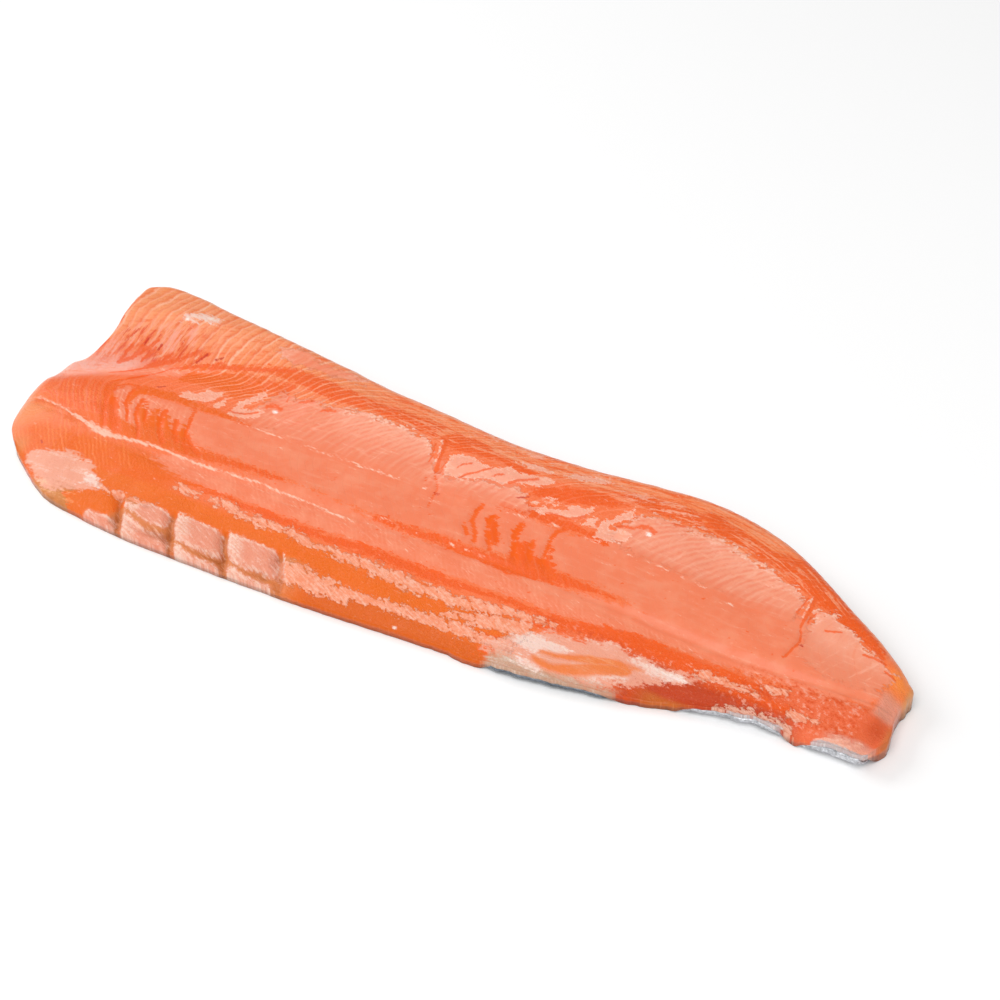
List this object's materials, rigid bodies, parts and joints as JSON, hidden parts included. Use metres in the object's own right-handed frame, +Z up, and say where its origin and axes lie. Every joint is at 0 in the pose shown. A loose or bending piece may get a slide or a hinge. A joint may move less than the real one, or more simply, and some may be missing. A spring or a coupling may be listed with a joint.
{
  "type": "rainbow trout fillet",
  "caption": "Raw skin-on fish fillet lying skin down: a long slab of orange-pink flesh with a raised loin, a thin belly flap and a narrow tail, backed by silver skin.",
  "frame": {"origin": "on the surface it lies on, under the middle of the fillet's bounding box", "axes": "+X towards the tail, -X towards the head cut, +Y towards the back edge, +Z up out of the cut face of the flesh"},
  "size_m": [0.2824, 0.0862, 0.0271],
  "materials": {
    "flesh": "wet raw flesh, orange-pink with pale sinew lines",
    "skin": "wet silver fish skin with fine scales"
  },
  "bodies": {
    "root": {"flesh": "flesh", "skin": "skin"}
  },
  "joints": []
}
